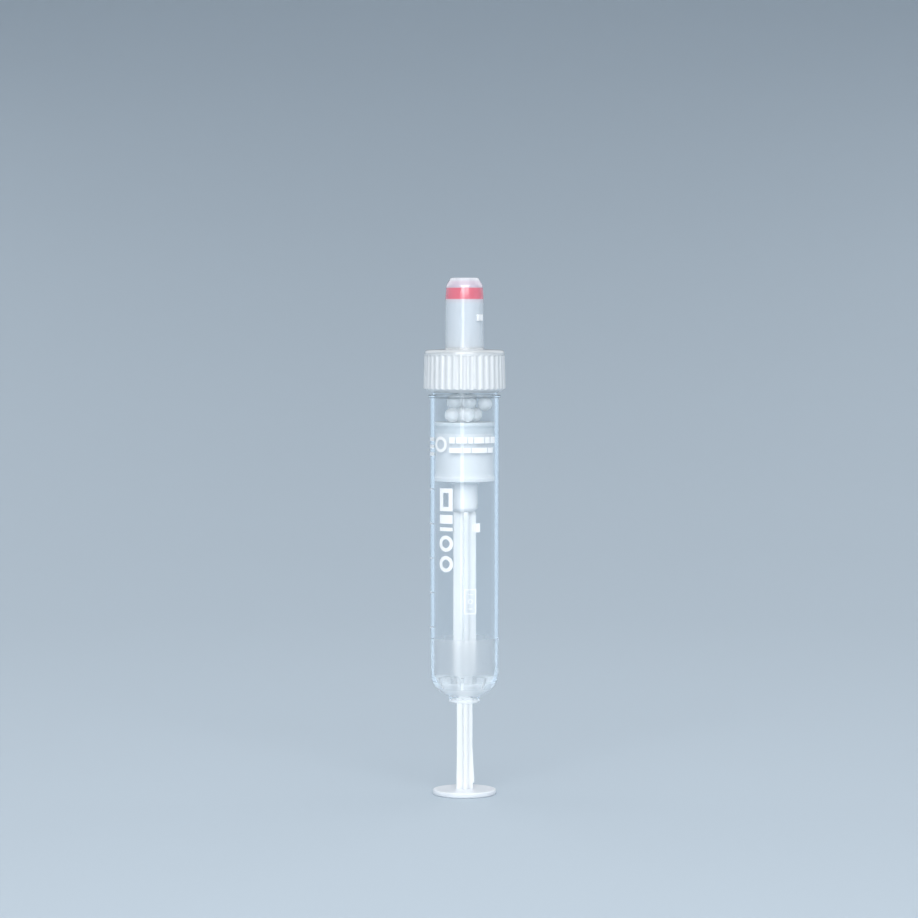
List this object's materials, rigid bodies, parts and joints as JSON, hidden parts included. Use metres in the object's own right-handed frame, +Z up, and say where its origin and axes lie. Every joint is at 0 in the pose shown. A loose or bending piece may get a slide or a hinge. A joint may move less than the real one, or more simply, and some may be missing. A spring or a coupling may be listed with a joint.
{
  "type": "blood collection tube",
  "caption": "Syringe-type blood collection tube: clear barrel, ribbed screw cap with nozzle and red stopper, piston on a snap-off plunger rod.",
  "frame": {"origin": "centre of the thumb disc's underside, on which the tube stands", "axes": "+Z up along the tube's axis towards the nozzle, front towards -Y"},
  "size_m": [0.0178, 0.0178, 0.1123],
  "materials": {
    "clear_plastic": "clear injection-moulded polypropylene",
    "milky_plastic": "milky natural polyethylene",
    "red_rubber": "pierceable red rubber",
    "piston_plastic": "translucent natural polyethylene",
    "rod_plastic": "white polypropylene",
    "bead_plastic": "clear plastic granules coated with clot activator"
  },
  "bodies": {
    "barrel": {"tube": "clear_plastic"},
    "plunger": {"plunger_rod": "rod_plastic", "piston": "piston_plastic", "activator_bead_01": "bead_plastic", "activator_bead_02": "bead_plastic", "activator_bead_03": "bead_plastic", "activator_bead_04": "bead_plastic", "activator_bead_05": "bead_plastic", "activator_bead_06": "bead_plastic", "activator_bead_07": "bead_plastic", "activator_bead_08": "bead_plastic", "activator_bead_09": "bead_plastic", "activator_bead_10": "bead_plastic", "activator_bead_11": "bead_plastic", "activator_bead_12": "bead_plastic", "activator_bead_13": "bead_plastic", "activator_bead_14": "bead_plastic", "activator_bead_15": "bead_plastic"},
    "stopper": {"membrane_stopper": "red_rubber"},
    "cap": {"screw_cap": "milky_plastic"}
  },
  "joints": [
    {"name": "plunger_draw", "type": "slide", "parent": "barrel", "child": "plunger", "axis": [0, 0, -1], "range_m": [0, 0.0418]},
    {"name": "cap_lift", "type": "slide", "parent": "barrel", "child": "stopper", "axis": [0, 0, 1], "range_m": [0, 0.0091]},
    {"name": "cap_turn", "type": "hinge", "parent": "stopper", "child": "cap", "pos_m": [0, 0, 0.09], "axis": [0, 0, 1], "range_deg": [0, 1080]}
  ],
  "couplings": [
    {"joint": "cap_lift", "follows": "cap_turn", "m_per_rad": 0.00047746}
  ]
}
